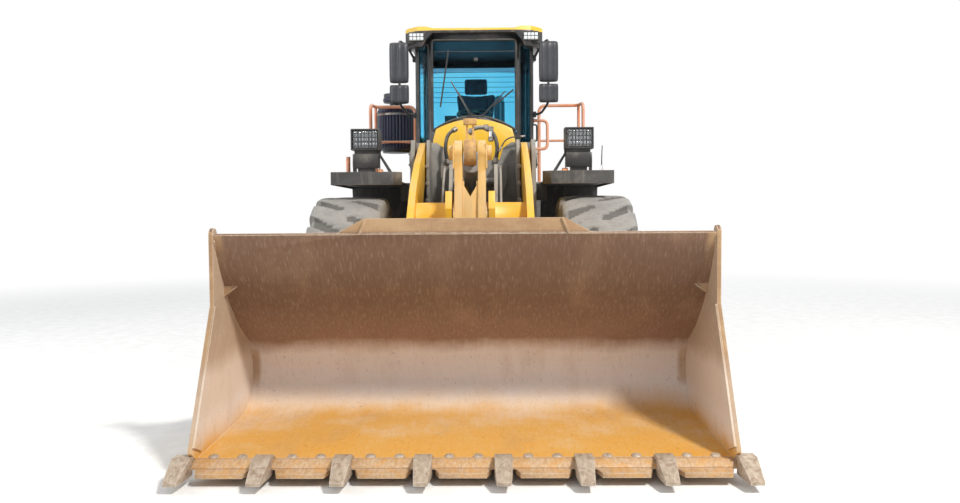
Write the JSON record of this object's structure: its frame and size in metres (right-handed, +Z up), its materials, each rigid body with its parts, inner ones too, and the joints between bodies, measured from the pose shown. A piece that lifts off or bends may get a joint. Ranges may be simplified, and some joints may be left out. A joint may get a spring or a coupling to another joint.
{
  "type": "articulated wheel loader",
  "caption": "Articulated wheel loader with a toothed earth bucket on a Z-bar lift linkage, a high cab over the pivot and a rear engine hood.",
  "frame": {"origin": "on the ground, under the middle of the machine's box", "axes": "+Z up, -Y is forward to the bucket, +X is the operator's left, the door side"},
  "size_m": [3.367, 8.95, 3.54],
  "materials": {
    "tyre": "worn rubber, dusty",
    "rim": "dusty grey paint",
    "frame_grey": "dark grey paint, dusty",
    "arm_yellow": "worn yellow paint",
    "bellcrank_yellow": "dusty yellow paint",
    "body_yellow": "glossy yellow paint",
    "bucket_steel": "bare, worn and rusty, traces of paint",
    "edge_steel": "scoured steel",
    "pin_steel": "greased steel",
    "chrome_rod": "hard chrome",
    "cylinder_grey": "grey paint",
    "cast_grey": "painted casting",
    "cab_dark": "near-black paint",
    "plastic_dark": "moulded charcoal plastic",
    "seat_fabric": "woven seat cloth",
    "glass": "tinted",
    "rail_orange": "faded safety orange",
    "lamp_black": "lamp housings"
  },
  "bodies": {
    "chassis": {"rear_frame": "frame_grey", "rear_axle": "cast_grey", "drivetrain": "cast_grey", "hood": "body_yellow", "counterweight": "cast_grey", "rear_fenders": "frame_grey", "platforms": "frame_grey", "cab_body": "cab_dark", "cab_glass": "glass", "cab_roof": "body_yellow", "cowl": "body_yellow", "seat": "seat_fabric", "console": "plastic_dark", "mirrors": "plastic_dark", "handrails": "rail_orange", "stacks": "plastic_dark"},
    "door": {"cab_door": "cab_dark", "door_glass": "glass"},
    "front_end": {"front_frame": "frame_grey", "front_axle": "cast_grey", "front_fenders": "frame_grey", "headlamps": "lamp_black"},
    "lift_arms": {"lift_arms": "arm_yellow"},
    "bellcrank_pin": {"bellcrank_pin": "pin_steel"},
    "bellcrank": {"bellcrank": "bellcrank_yellow"},
    "link_pin": {"link_pin": "pin_steel"},
    "tilt_link": {"tilt_link": "bellcrank_yellow"},
    "hinge_pins": {"hinge_pins": "pin_steel"},
    "bucket": {"bucket_shell": "bucket_steel", "cutting_edge": "edge_steel", "bucket_teeth": "edge_steel"},
    "lift_barrels": {"lift_barrels": "cylinder_grey"},
    "lift_rods": {"lift_rods": "chrome_rod"},
    "tilt_barrel": {"tilt_barrel": "cylinder_grey"},
    "tilt_rod": {"tilt_rod": "chrome_rod"},
    "steer_barrel_left": {"steer_barrel_left": "cylinder_grey"},
    "steer_rod_left": {"steer_rod_left": "chrome_rod"},
    "steer_barrel_right": {"steer_barrel_right": "cylinder_grey"},
    "steer_rod_right": {"steer_rod_right": "chrome_rod"},
    "front_left_wheel": {"front_left_tyre": "tyre", "front_left_rim": "rim"},
    "front_right_wheel": {"front_right_tyre": "tyre", "front_right_rim": "rim"},
    "rear_left_wheel": {"rear_left_tyre": "tyre", "rear_left_rim": "rim"},
    "rear_right_wheel": {"rear_right_tyre": "tyre", "rear_right_rim": "rim"}
  },
  "joints": [
    {"name": "articulation", "type": "hinge", "parent": "chassis", "child": "front_end", "pos_m": [0, 0.685, 0.94], "axis": [0, 0, 1], "range_deg": [-38, 38]},
    {"name": "lift", "type": "hinge", "parent": "front_end", "child": "lift_arms", "pos_m": [0, -0.74, 2.1], "axis": [-1, 0, 0], "range_deg": [0, 87]},
    {"name": "bucket_level", "type": "hinge", "parent": "lift_arms", "child": "hinge_pins", "pos_m": [0, -2.81, 0.36], "axis": [-1, 0, 0], "range_deg": [-87.5, 0]},
    {"name": "bucket_tilt", "type": "hinge", "parent": "hinge_pins", "child": "bucket", "pos_m": [0, -2.81, 0.36], "axis": [1, 0, 0], "range_deg": [-42, 45]},
    {"name": "bellcrank_lift", "type": "hinge", "parent": "lift_arms", "child": "bellcrank_pin", "pos_m": [0, -2.117, 1.54], "axis": [-1, 0, 0], "range_deg": [-0.2, 14.59]},
    {"name": "bellcrank_tilt", "type": "hinge", "parent": "bellcrank_pin", "child": "bellcrank", "pos_m": [0, -2.117, 1.54], "axis": [-1, 0, 0], "range_deg": [-7.25, 7.75]},
    {"name": "link_lift", "type": "hinge", "parent": "bellcrank", "child": "link_pin", "pos_m": [0, -2.202, 0.564], "axis": [-1, 0, 0], "range_deg": [-52.1, 0.2]},
    {"name": "link_tilt", "type": "hinge", "parent": "link_pin", "child": "tilt_link", "pos_m": [0, -2.202, 0.564], "axis": [-1, 0, 0], "range_deg": [-20.3, 18.96]},
    {"name": "lift_cylinders", "type": "hinge", "parent": "front_end", "child": "lift_barrels", "pos_m": [0, -0.31, 0.98], "axis": [-1, 0, 0], "range_deg": [-0.2, 42.3]},
    {"name": "lift_rods", "type": "slide", "parent": "lift_barrels", "child": "lift_rods", "axis": [0, -0.9665, 0.2567], "range_m": [-0.002, 0.978]},
    {"name": "tilt_cylinder", "type": "hinge", "parent": "front_end", "child": "tilt_barrel", "pos_m": [0, -0.648, 1.88], "axis": [-1, 0, 0], "range_deg": [-0.2, 73]},
    {"name": "tilt_rod", "type": "slide", "parent": "tilt_barrel", "child": "tilt_rod", "axis": [0, -0.9909, 0.1343], "range_m": [-0.0695, 0.065]},
    {"name": "door_hinge", "type": "hinge", "parent": "chassis", "child": "door", "pos_m": [0.664, 0.98, 2.65], "axis": [0, 0, 1], "range_deg": [0, 90]},
    {"name": "steer_cylinder_left", "type": "hinge", "parent": "chassis", "child": "steer_barrel_left", "pos_m": [0.24, 1.385, 0.98], "axis": [0, 0, 1], "range_deg": [-11.8, 11.8]},
    {"name": "steer_rod_left", "type": "slide", "parent": "steer_barrel_left", "child": "steer_rod_left", "axis": [0.0599, -0.9982, 0], "range_m": [-0.184, 0.184]},
    {"name": "steer_cylinder_right", "type": "hinge", "parent": "chassis", "child": "steer_barrel_right", "pos_m": [-0.24, 1.385, 0.98], "axis": [0, 0, 1], "range_deg": [-11.8, 11.8]},
    {"name": "steer_rod_right", "type": "slide", "parent": "steer_barrel_right", "child": "steer_rod_right", "axis": [-0.0599, -0.9982, 0], "range_m": [-0.184, 0.184]},
    {"name": "front_left_wheel_spin", "type": "hinge", "parent": "front_end", "child": "front_left_wheel", "pos_m": [1.14, -1.09, 0.862], "axis": [1, 0, 0], "continuous": true},
    {"name": "front_right_wheel_spin", "type": "hinge", "parent": "front_end", "child": "front_right_wheel", "pos_m": [-1.14, -1.09, 0.862], "axis": [1, 0, 0], "continuous": true},
    {"name": "rear_left_wheel_spin", "type": "hinge", "parent": "chassis", "child": "rear_left_wheel", "pos_m": [1.14, 2.46, 0.862], "axis": [1, 0, 0], "continuous": true},
    {"name": "rear_right_wheel_spin", "type": "hinge", "parent": "chassis", "child": "rear_right_wheel", "pos_m": [-1.14, 2.46, 0.862], "axis": [1, 0, 0], "continuous": true}
  ],
  "couplings": [
    {"joint": "bucket_level", "follows": "lift", "ratio": -1},
    {"joint": "bellcrank_lift", "follows": "lift", "ratio": 0.1671},
    {"joint": "bellcrank_tilt", "follows": "bucket_tilt", "ratio": 0.1679},
    {"joint": "link_lift", "follows": "lift", "ratio": -0.5966},
    {"joint": "link_tilt", "follows": "bucket_tilt", "ratio": -0.4467},
    {"joint": "lift_cylinders", "follows": "lift", "ratio": 0.4839},
    {"joint": "lift_rods", "follows": "lift", "m_per_rad": 0.64222},
    {"joint": "tilt_cylinder", "follows": "lift", "ratio": 0.8368},
    {"joint": "tilt_rod", "follows": "bucket_tilt", "m_per_rad": -0.086},
    {"joint": "steer_cylinder_left", "follows": "articulation", "ratio": 0.3036},
    {"joint": "steer_rod_left", "follows": "articulation", "m_per_rad": -0.274},
    {"joint": "steer_cylinder_right", "follows": "articulation", "ratio": 0.3036},
    {"joint": "steer_rod_right", "follows": "articulation", "m_per_rad": 0.274}
  ]
}
